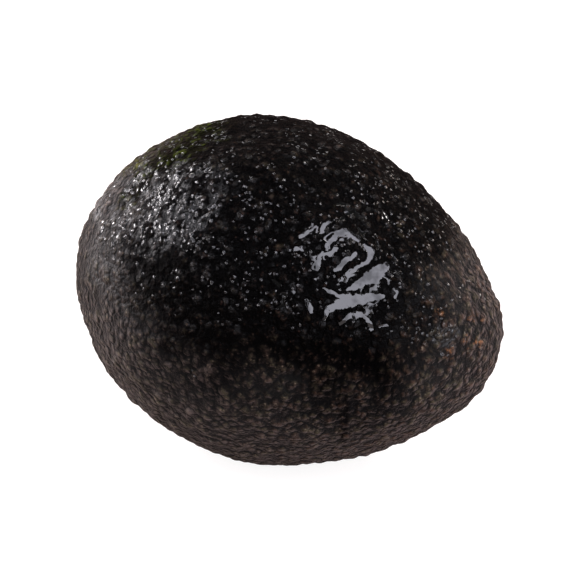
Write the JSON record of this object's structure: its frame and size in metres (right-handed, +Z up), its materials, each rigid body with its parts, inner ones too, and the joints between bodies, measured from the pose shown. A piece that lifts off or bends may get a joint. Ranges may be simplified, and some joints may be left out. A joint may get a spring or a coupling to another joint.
{
  "type": "avocado",
  "caption": "Whole ripe avocado with a dark pebbled skin, lying on its side on a small flat spot, with the woody stub of its stem in a shallow hollow.",
  "frame": {"origin": "middle of the bottom of the part's box, on the surface that the fruit lies on", "axes": "+X along the fruit's length towards the slimmer stem end, +Z up"},
  "size_m": [0.0906, 0.0704, 0.0698],
  "materials": {
    "skin": "near-black pebbled fruit skin, satin, with a moist glossy film in places",
    "stem": "dry rough woody stub"
  },
  "bodies": {
    "root": {"avocado_fruit": "skin", "stem_button": "stem"}
  },
  "joints": []
}
